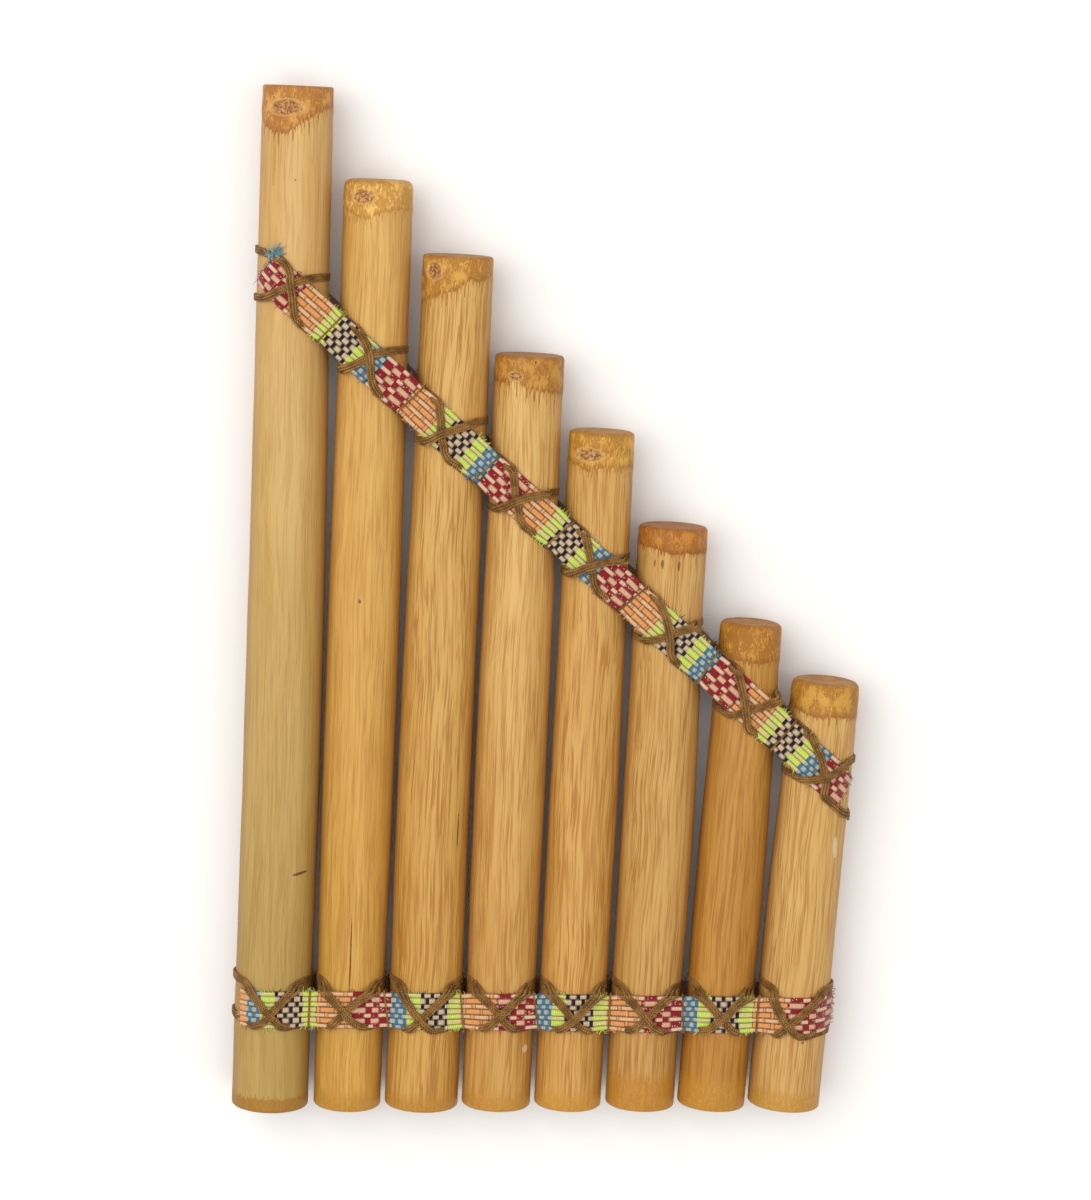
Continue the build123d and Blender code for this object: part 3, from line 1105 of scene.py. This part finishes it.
class CordPiece:
    """Collects swept cords into one mesh."""

    def __init__(self):
        self.corners, self.plies, self.faces = [], [], []
        self.count = 0
        self.length = 0.0

    def add(self, points, outs, radius, flats, phase):
        points, outs, flats = even_steps(points, outs, flats, CORD_STEP)
        corners, plies, faces = sweep(points, outs, radius, flats, phase)
        self.corners.append(corners)
        self.plies.append(plies)
        self.faces += [tuple(index + self.count for index in face) for face in faces]
        self.count += len(corners)
        self.length += float(np.linalg.norm(np.roll(points, -1, axis=0) - points, axis=1).sum())

    def finish(self, name, material, *nodes):
        piece = build_mesh(name, np.concatenate(self.corners) * MM, self.faces)
        map_flat(piece, np.concatenate(self.plies))
        face_outwards(piece)
        piece.data.shade_smooth()
        piece.data.materials.append(material)
        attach(piece, "root")
        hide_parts(*nodes)
        return piece


# Routes over the front of a cane, as places across its axis and up from where the ribbon crosses it. The
# level arm and the steep arm hold the upper ribbon. The falling arm and its mirror image hold the lower one.
LEVEL_ARM = (
    (-11.5, -2.2), (-9.0, -2.3), (-6.3, -1.9), (-3.6, -0.6), (-1.2, 0.9), (1.0, 2.0), (3.6, 3.0), (6.8, 3.8),
    (9.4, 4.1), (11.5, 3.9),
)
STEEP_ARM = (
    (-11.5, 14.0), (-8.8, 12.4), (-6.4, 11.0), (-4.5, 9.9), (-3.2, 8.7), (-2.3, 6.9), (-1.3, 4.5),
    (-0.5, 1.8), (0.1, -1.4), (0.5, -4.8), (1.3, -7.0), (2.7, -8.5), (4.8, -10.0), (7.2, -11.8),
    (9.3, -13.6), (11.5, -15.5),
)
FIRST_STEEP_ARM = (
    (-11.5, 11.6), (-9.4, 11.0), (-6.4, 10.1), (-3.4, 9.0), (-1.4, 7.2), (-0.5, 4.8), (0.0, 1.8), (0.3, -1.6),
    (0.7, -4.9), (1.4, -7.1), (2.7, -8.6), (4.8, -10.1), (7.2, -11.8), (9.3, -13.6), (11.5, -15.5),
)
FALLING_ARM = (
    (-11.5, 8.4), (-9.4, 7.9), (-7.0, 6.4), (-3.9, 3.6), (-0.9, 0.5), (1.7, -2.5), (3.3, -4.1), (5.2, -4.9),
    (7.4, -5.1), (9.6, -5.0), (11.5, -5.0),
)
FIRST_RISING_ARM = (
    (-11.5, -2.6), (-9.6, -3.3), (-7.6, -4.2), (-5.4, -4.7), (-3.3, -4.1), (-1.7, -2.5), (0.9, 0.5),
    (3.9, 3.6), (7.0, 6.4), (9.4, 7.9), (11.5, 8.4),
)
# Between which places across the cane each arm lies over the ribbon. Past them it is tucked under the edge.
LEVEL_OVER = (-6.6, 6.6)
STEEP_OVER = (-4.4, 2.6)
FIRST_LEVEL_OVER = (-9.5, 6.6)
FIRST_STEEP_OVER = (-3.2, 2.6)
FALLING_OVER = (-6.6, 4.4)
RISING_OVER = (-4.4, 6.6)
ROUTE_REACH = 11.5
FLATTER_FROM = 3
CROSSING_REACH = 9.0
# How far each crossing of two arms is from the middle of the ribbon, and which arm lies over the other
UPPER_CROSSINGS = (
    (0.3, 0.6, 1), (0.0, 1.0, 1), (-2.0, -1.1, 0), (-1.6, -0.3, 0), (-1.2, -0.2, 0), (0.7, -1.0, 1),
    (0.2, -3.0, 1), (1.8, -2.4, 0),
)
LOWER_CROSSINGS = (
    (0.0, -1.0, 0), (-1.1, -0.4, 0), (-0.9, -2.2, 0), (0.0, -0.6, 1), (0.3, -1.3, 1), (0.0, -0.6, 0),
    (0.4, -0.5, 1), (-1.9, -2.8, 0),
)
# Points on each route once it is smooth, and on each stretch between two of its own points
ROUTE_POINTS = 90
STRETCH_POINTS = 12


def bend(route, shift_across, shift_up, rng):
    """A route with its crossing moved and its points a little off."""
    points = []
    for across, up in route:
        fade = max(0.0, 1 - (math.hypot(across, up) / CROSSING_REACH) ** 2)
        wobble = 0.2 * fade
        across += shift_across * fade + rng.uniform(-wobble, wobble)
        points.append((across, up + shift_up * fade + rng.uniform(-wobble, wobble)))
    return np.array(points)


def smooth_route(points):
    """Even points on a smooth line through a route's points."""
    padded = np.vstack([2 * points[0] - points[1], points, 2 * points[-1] - points[-2]])
    made = []
    for k in range(1, len(padded) - 2):
        a, b, c, d = padded[k - 1 : k + 3]
        square = 2 * a - 5 * b + 4 * c - d
        cube = 3 * b - a - 3 * c + d
        for t in np.linspace(0, 1, STRETCH_POINTS, endpoint=False):
            made.append(0.5 * (2 * b + (c - a) * t + square * t * t + cube * t**3))
    made.append(padded[-2])
    made = np.array(made)
    runs = np.concatenate([[0], np.cumsum(np.linalg.norm(np.diff(made, axis=0), axis=1))])
    places = np.linspace(0, runs[-1], ROUTE_POINTS)
    return np.stack([np.interp(places, runs, made[:, 0]), np.interp(places, runs, made[:, 1])], axis=1)


def around_cane(front, back, up, radius):
    """A closed loop from a front and a back route, as angles round the cane and distances from its mouth."""
    angles, heights = [], []
    for route, side in ((front, 1), (back[::-1], -1)):
        share = np.clip(route[:, 0] / ROUTE_REACH, -1, 1)
        angle = np.arcsin(np.clip(route[:, 0] / radius, -0.999, 0.999))
        blend = smooth_step(np.abs(share), 0.72, 1.0)
        angle = angle * (1 - blend) + np.sign(share) * math.pi / 2 * blend
        angles.append(angle if side > 0 else math.pi - angle)
        heights.append(up + route[:, 1])
    return np.concatenate(angles), np.concatenate(heights)


def shifted(route, offset):
    """A route moved sideways, for the next cord of a bundle."""
    ahead = np.gradient(route, axis=0)
    ahead /= np.linalg.norm(ahead, axis=1)[:, None]
    squeeze = 1 - 0.2 * smooth_step(np.abs(route[:, 0]), 8.0, ROUTE_REACH)
    moved = route + offset * squeeze[:, None] * np.stack([-ahead[:, 1], ahead[:, 0]], axis=1)
    moved[0, 0], moved[-1, 0] = -ROUTE_REACH, ROUTE_REACH
    return moved


def press_thin(cane, angles):
    """How thin a cord is pressed where it passes between two canes."""
    thin = smooth_step(np.abs(np.sin(angles)), 0.86, 0.985)
    outer_left = cane.number == 0
    outer_right = cane.number == COUNT - 1
    free = (outer_left & (np.sin(angles) < 0)) | (outer_right & (np.sin(angles) > 0))
    return np.where(free, 1.0, 1 - (1 - PRESSED) * thin)


def clearance(cane, line, angles, heights, flats, over):
    """How far from the axis a cord has to stay, to clear the cane and what it lies over of both ribbons."""
    radius = cane.radius(heights)
    bare = radius + CORD_RADIUS * flats
    offsets = radius * np.sin(angles)
    spots = MOUTHS[cane.number] + heights[:, None] * AXES[cane.number]
    spots = spots + offsets[:, None] * ACROSS[cane.number]
    s, w = line.flat(spots)
    top = line.height(spots, CLOTH + RELIEF * 0.6) + CORD_RADIUS
    upright = np.abs(np.cos(angles))
    covered = (np.abs(w) < line.width / 2) & (upright > ON_TOP) & (s > line.start) & (s < line.end)
    covered &= (offsets > over[0]) & (offsets < over[1])
    return np.where(covered, np.maximum(bare, top / np.maximum(upright, ON_TOP)), bare)


def near_bundle(angles, heights, radius, other):
    """How close each point of a cord is to another bundle, and that bundle's distance from the axis there."""
    flat = np.stack([np.sin(angles) * radius, heights, np.cos(angles) * radius], axis=1)
    other_angles, other_heights, other_reach = other
    there = np.stack([np.sin(other_angles) * radius, other_heights, np.cos(other_angles) * radius], axis=1)
    gaps = np.linalg.norm(flat[:, None, :] - there[None, :, :], axis=2)
    nearest = gaps.argmin(1)
    return gaps[np.arange(len(flat)), nearest], other_reach[nearest]


def in_place(cane, angles, heights, reach):
    """Points round a cane in space, and the way out of the cane at each."""
    outs = np.zeros((len(angles), 3))
    outs[:, :2] = np.sin(angles)[:, None] * ACROSS[cane.number]
    outs[:, 2] = np.cos(angles)
    points = reach[:, None] * outs
    points[:, :2] += MOUTHS[cane.number] + heights[:, None] * AXES[cane.number]
    points[:, 2] += AXIS_HEIGHT
    return points, outs


def lash(cane, line, arms, spans, over, finish, rng):
    """The crossed bundles of one lashing, three turns in each.

    arms are the two routes, spans where each lies on the ribbon, and over says which arm is the upper one.
    """
    crown = line.plan(line.crossings[cane.number], 0.0)
    up = float((crown - MOUTHS[cane.number]) @ AXES[cane.number])
    piece = CordPiece()
    laid = None
    for arm in (1 - over, over):
        route = smooth_route(arms[arm])
        bundle = []
        for offset in (-CORD_PITCH, 0.0, CORD_PITCH):
            moved = shifted(route, offset)
            angles, heights = around_cane(moved, moved, up, cane.radius(up) + OVER_CLOTH)
            flats = press_thin(cane, angles)
            needs = clearance(cane, line, angles, heights, flats, spans[arm])
            if laid is not None:
                gap, below = near_bundle(angles, heights, cane.radius(up), laid)
                close = 1 - smooth_step(gap, *NEAR_CROSSING)
                needs = np.maximum(needs, (below + NESTED * CORD_RADIUS) * close)
            reach = pull_tight(needs, angles)
            bundle.append((angles, heights, reach))
            points, outs = in_place(cane, angles, heights, reach)
            piece.add(points, outs, CORD_RADIUS, flats, rng.uniform(0, 2 * math.pi))
        laid = bundle[1]
    piece.finish(f"{line.name}_cord_{cane.number + 1}", finish, f"{line.name}_lashing_{cane.number + 1}")
    return piece.length


def mirrored(route):
    return tuple((-across, up) for across, up in reversed(route))


def lowered(route):
    """The level arm as it lies on the shorter canes: lower, and flatter at its right end."""
    return tuple((across, up - 1.0 - 0.07 * across) for across, up in route)


def arms_of(line, cane):
    """The two routes of a lashing and where each lies on the ribbon. The first cane has its own."""
    first = cane.number == 0
    if line.name == "upper":
        if first:
            return (LEVEL_ARM, FIRST_STEEP_ARM), (FIRST_LEVEL_OVER, FIRST_STEEP_OVER)
        level = LEVEL_ARM if cane.number < FLATTER_FROM else lowered(LEVEL_ARM)
        return (level, STEEP_ARM), (LEVEL_OVER, STEEP_OVER)
    if first:
        return (FALLING_ARM, FIRST_RISING_ARM), (FALLING_OVER, RISING_OVER)
    return (FALLING_ARM, mirrored(FALLING_ARM)), (FALLING_OVER, RISING_OVER)


def make_lashings(finish):
    """All the lashings. Gives back the length of cord in each."""
    lengths = {}
    crossings = {"upper": UPPER_CROSSINGS, "lower": LOWER_CROSSINGS}
    for name, line in ribbon_lines.items():
        for cane, (across, up, over) in zip(canes, crossings[name]):
            rng = random.Random(f"{name} lashing {cane.number}")
            routes, spans = arms_of(line, cane)
            arms = [bend(route, across, up, rng) for route in routes]
            lengths[f"{name}_{cane.number + 1}"] = lash(cane, line, arms, spans, over, finish, rng)
    return lengths


def turn_section(half):
    """A turn of cord round a ribbon: places across it, lifts, and the way outwards at each."""
    top = CLOTH + RELIEF + TURN_RADIUS * 0.5
    low = -TURN_RADIUS
    middle_lift, half_lift = (top + low) / 2, (top - low) / 2
    across = np.linspace(-half, half, 26)
    level = np.zeros(26)
    bulge = np.linspace(-math.pi / 2, math.pi / 2, 9)[1:-1]
    beyond = half + half_lift * 0.7 * np.cos(bulge)
    drop = half_lift * np.sin(bulge)
    w = np.concatenate([across, beyond, across[::-1], -beyond])
    lift = np.concatenate([level + top, middle_lift - drop, level + low, middle_lift + drop])
    ways = np.concatenate([level, np.cos(bulge), level, -np.cos(bulge)])
    rises = np.concatenate([level + 1, -np.sin(bulge), level - 1, np.sin(bulge)])
    return w, lift, ways, rises


def make_turns(line, side_name, finish):
    """The single turn of cord that pinches a ribbon at each gap."""
    rng = random.Random(f"turns {side_name} {line.name}")
    side = SIDES[side_name]
    piece = CordPiece()
    middles = (line.crossings[1:] + line.crossings[:-1]) / 2
    for middle in middles:
        half = line.width / 2 * float(line.squeeze(np.array([middle]))[0]) + 0.1
        slant = rng.uniform(-0.9, 0.9)
        w, lift, ways, rises = turn_section(half)
        points = line.lay(middle + slant * w / half, w, lift, side)
        outs = np.concatenate([ways[:, None] * line.over[None, :], (side * rises)[:, None]], axis=1)
        piece.add(points, outs, TURN_RADIUS, np.ones(len(points)), rng.uniform(0, 6))
    piece.finish(f"{side_name}_{line.name}_turn_cords", finish, f"{side_name}_{line.name}_turns")


# ---------------------------------------------------------------- loose threads


def loose_thread(start, way, length, radius, rng):
    """Corners and faces of one short loose thread, curling as it goes."""
    bends = 4
    point = np.array(start, float)
    way = np.array(way, float) / np.linalg.norm(way)
    corners, faces = [], []
    for k in range(bends + 1):
        side = np.cross(way, (0.3, 0.2, 1.0))
        side /= np.linalg.norm(side)
        other = np.cross(way, side)
        thin = radius * (1 - 0.5 * k / bends)
        for turn in (0, 120, 240):
            angle = math.radians(turn)
            corners.append(point + thin * (math.cos(angle) * side + math.sin(angle) * other))
        way = way + np.array([rng.uniform(-0.45, 0.45) for _ in range(3)]) + np.array((0, 0, -0.1))
        way /= np.linalg.norm(way)
        point = point + way * length / bends
    for k in range(bends):
        for j in range(3):
            after = (j + 1) % 3
            faces.append((3 * k + j, 3 * k + 3 + j, 3 * k + 3 + after, 3 * k + after))
    faces += [(0, 1, 2), (3 * bends + 2, 3 * bends + 1, 3 * bends)]
    return corners, faces


# The thread that frays out of each block's edges, and how much of it
FRINGES = {
    "red": ("red", 0.35),
    "orange": ("orange", 0.8),
    "lime_narrow": ("lime", 2.6),
    "lime_wide": ("lime", 2.6),
    "black": ("black", 0.3),
    "blue": ("blue", 0.7),
    "frayed": ("tan", 1.5),
}
FRINGE_STEP = 0.3
# The threads of each ribbon's two frayed ends
END_TONES = {
    "upper": (("pink", "red", "cream"), ("red", "rose")),
    "lower": (("tan", "orange"), ("pink", "red")),
}
END_THREADS = 46
# The blue tuft at the first end of the upper ribbon
TUFT_TONES = ("teal", "teal", "blue", "ice")
TUFT_THREADS = 90


def make_fringe(line, side_name, finish):
    """Frayed ends and the threads that stand out of both edges."""
    rng = random.Random(f"fringe {side_name} {line.name}")
    side = SIDES[side_name]
    corners, faces, colours = [], [], []

    def grow(s, w, ways, length, tone):
        start = line.lay(np.array([s]), np.array([w]), np.array([CLOTH * 0.7]), side)[0]
        flat = ways[0] * line.along + ways[1] * line.over
        thick = rng.uniform(0.11, 0.19)
        new_corners, new_faces = loose_thread(start, (*flat, side * ways[2]), length, thick, rng)
        count = len(corners)
        corners.extend(new_corners)
        faces.extend(tuple(index + count for index in face) for face in new_faces)
        level = rng.uniform(0.75, 1.1)
        shade = (*[value * level for value in THREADS[tone][:3]], 1.0)
        colours.extend([shade] * len(new_faces))

    s = line.start
    while s < line.end:
        block, _ = block_at(line, s)
        tone, share = FRINGES[block]
        for edge in (-1, 1):
            if rng.random() < share * 0.35:
                w = edge * (line.width / 2 * 0.94 - rng.uniform(0.0, 0.6))
                ways = (rng.uniform(-0.8, 0.8), edge, rng.uniform(-0.2, 0.4))
                grow(s, w, ways, rng.uniform(0.7, 2.1), tone)
        s += FRINGE_STEP
    for place, way, tones in zip((line.start, line.end), (-1, 1), END_TONES[line.name]):
        for _ in range(END_THREADS):
            w = rng.uniform(-0.48, 0.48) * line.width
            ways = (way, rng.uniform(-0.5, 0.5), rng.uniform(-0.1, 0.35))
            grow(place, w, ways, rng.uniform(0.5, 1.6), rng.choice(tones))
    if line.name == "upper":
        for _ in range(TUFT_THREADS):
            w = line.width * rng.uniform(0.24, 0.5)
            ways = (rng.uniform(-0.9, 0.5), rng.uniform(0.2, 1.2), rng.uniform(0.1, 0.8))
            tone = rng.choice(TUFT_TONES)
            grow(line.start + rng.uniform(-0.4, 1.2), w, ways, rng.uniform(1.8, 4.4), tone)
    piece = build_mesh(f"{side_name}_{line.name}_fringe", np.array(corners) * MM, faces)
    paint_faces(piece, colours)
    map_flat(piece, np.zeros((len(corners), 2)))
    piece.data.shade_smooth()
    piece.data.materials.append(finish)
    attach(piece, "root")
    return piece


# ---------------------------------------------------------------- cloth and cord finishes


def wire_yarn(bench, sockets):
    """Fine yarn: lengthwise strands where the thread floats and crosswise stitches where it is bound."""
    u, v = bench.parts(sockets["Flat"])[:2]
    strands = bench.maths("SINE", bench.times(v, 2 * math.pi / (0.46 * MM)))
    stitches = bench.maths("SINE", bench.times(u, 2 * math.pi / (0.62 * MM)))
    floating = sockets["Float"]
    mixed = bench.add(bench.times(strands, floating), bench.times(stitches, bench.less(1.0, floating)))
    fuzz = bench.noise(bench.stretch(sockets["Flat"], 1 / MM, 1 / MM, 1.0), 2.6, 2.0, 0.6)
    height = bench.add(bench.times(mixed, 0.5), fuzz)
    level = bench.add(bench.times(mixed, 0.1), bench.step(fuzz, 0.2, 0.8, 0.82, 1.12))
    return {"Level": level, "Height": height}


yarn = shader_group("fine_yarn", {"Flat": "v", "Float": "f"}, {"Level": "f", "Height": "f"}, wire_yarn)


def woven_cotton():
    """Cotton in the colours that the weave gives each thread."""
    material, bench, shader = new_material("woven_cotton")
    thread = bench.node("ShaderNodeAttribute", attribute_name="thread")
    flat = bench.node("ShaderNodeUVMap", uv_map="flat").outputs[0]
    made = use_group(bench, yarn, {"Flat": flat, "Float": thread.outputs["Alpha"]})
    level = bench.point(made["Level"], made["Level"], made["Level"])
    tone = bench.mix(1.0, thread.outputs["Color"], level, blend="MULTIPLY")
    bench.tree.links.new(tone, shader.inputs["Base Color"])
    bench.tree.links.new(bench.bump(made["Height"], 0.00012), shader.inputs["Normal"])
    shader.inputs["Roughness"].default_value = 0.82
    shader.inputs["Specular IOR Level"].default_value = 0.25
    shader.inputs["Sheen Weight"].default_value = 0.25
    return material


def loose_cotton():
    """The same cotton where it has come loose."""
    material, bench, shader = new_material("loose_cotton")
    thread = bench.node("ShaderNodeAttribute", attribute_name="thread")
    thing = bench.node("ShaderNodeTexCoord").outputs["Object"]
    fuzz = bench.noise(bench.stretch(thing, 1 / MM, 1 / MM, 1 / MM), 2.0, 2.0, 0.6)
    level = bench.step(fuzz, 0.2, 0.8, 0.75, 1.15)
    tone = bench.mix(1.0, thread.outputs["Color"], bench.point(level, level, level), blend="MULTIPLY")
    bench.tree.links.new(tone, shader.inputs["Base Color"])
    shader.inputs["Roughness"].default_value = 0.85
    shader.inputs["Sheen Weight"].default_value = 0.3
    return material


def waxed_cord():
    """Brown twisted cord: painted shade darkens it between the plies, and it is uneven along its length."""
    material, bench, shader = new_material("waxed_cord")
    flat = bench.node("ShaderNodeUVMap", uv_map="flat").outputs[0]
    ply = bench.parts(flat)[0]
    crest = bench.maths("COSINE", bench.times(ply, 2 * math.pi))
    thing = bench.node("ShaderNodeTexCoord").outputs["Object"]
    place = bench.stretch(thing, 1 / MM, 1 / MM, 1 / MM)
    uneven = bench.noise(place, 0.35, 3.0, 0.6)
    fibres = bench.noise(place, 3.0, 2.0, 0.6)
    tone = bench.mix(bench.step(uneven, 0.35, 0.65), colour(136, 92, 38), colour(182, 132, 66))
    # Painted shade: the grooves between the plies are darkened towards a deep brown.
    tone = bench.mix(bench.step(crest, 0.1, -0.9, 0.0, 0.85), tone, colour(42, 23, 8))
    tone = bench.mix(bench.step(fibres, 0.55, 0.75, 0.0, 0.35), tone, colour(200, 156, 90))
    bench.tree.links.new(tone, shader.inputs["Base Color"])
    height = bench.add(bench.times(crest, 0.5), bench.times(fibres, 0.5))
    bench.tree.links.new(bench.bump(height, 0.00008), shader.inputs["Normal"])
    shader.inputs["Roughness"].default_value = 0.58
    shader.inputs["Specular IOR Level"].default_value = 0.35
    return material


# ---------------------------------------------------------------- floor, light and camera


def set_floor():
    clear_selection()
    bpy.ops.mesh.primitive_plane_add(size=4, location=(0, 0, cad_box[0][2]))
    floor = active_piece()
    floor.name = "floor"
    material, bench, shader = new_material("pale_floor")
    thing = bench.node("ShaderNodeTexCoord").outputs["Object"]
    level = bench.step(bench.noise(thing, 3.0), 0.3, 0.7)
    tone = bench.mix(level, (0.9, 0.885, 0.86, 1), (0.92, 0.905, 0.88, 1))
    bench.tree.links.new(tone, shader.inputs["Base Color"])
    shader.inputs["Roughness"].default_value = 0.9
    floor.data.materials.append(material)


def set_light(name, place, size, power):
    """A square soft box that faces the flute."""
    lamp = bpy.data.lights.new(name, "AREA")
    lamp.shape = "SQUARE"
    lamp.size = size
    lamp.energy = power
    thing = bpy.data.objects.new(name, lamp)
    thing.location = place
    thing.rotation_euler = (-Vector(place)).to_track_quat("-Z", "Y").to_euler()
    bpy.context.scene.collection.objects.link(thing)


def set_room():
    world = bpy.data.worlds.new("studio")
    bpy.context.scene.world = world
    world.use_nodes = True
    world.node_tree.nodes["Background"].inputs["Color"].default_value = (1, 1, 1, 1)
    world.node_tree.nodes["Background"].inputs["Strength"].default_value = 0.58
    set_light("key_softbox", (-0.6, 0.4, 1.4), 1.5, 17)
    set_light("fill_softbox", (0.6, -0.2, 1.4), 1.2, 6)
    bpy.context.scene.view_settings.view_transform = "Standard"


def set_camera():
    """Looks down at the flute, tilted a little towards the mouths."""
    lens = bpy.data.cameras.new("camera")
    lens.lens = LENS
    lens.sensor_width = 36
    camera = bpy.data.objects.new("camera", lens)
    away = Vector((0, math.sin(CAMERA_TILT), math.cos(CAMERA_TILT))) * CAMERA_DISTANCE
    camera.location = Vector((*CAMERA_AIM, AXIS_HEIGHT * MM)) + away
    camera.rotation_euler = (-CAMERA_TILT, 0, 0)
    bpy.context.scene.collection.objects.link(camera)
    bpy.context.scene.camera = camera


def main():
    set_camera()
    for cane, look in zip(canes, CANE_LOOKS):
        make_cane(cane, look)
    cotton = woven_cotton()
    loose = loose_cotton()
    cord = waxed_cord()
    for line in ribbon_lines.values():
        for side_name in SIDES:
            ribbon = make_ribbon(line, side_name, cotton)
            fringe = make_fringe(line, side_name, loose)
            make_turns(line, side_name, cord)
    lengths = make_lashings(cord)
    print("cord in each lashing, mm:", {name: round(length) for name, length in lengths.items()})
    set_floor()
    set_room()


main()
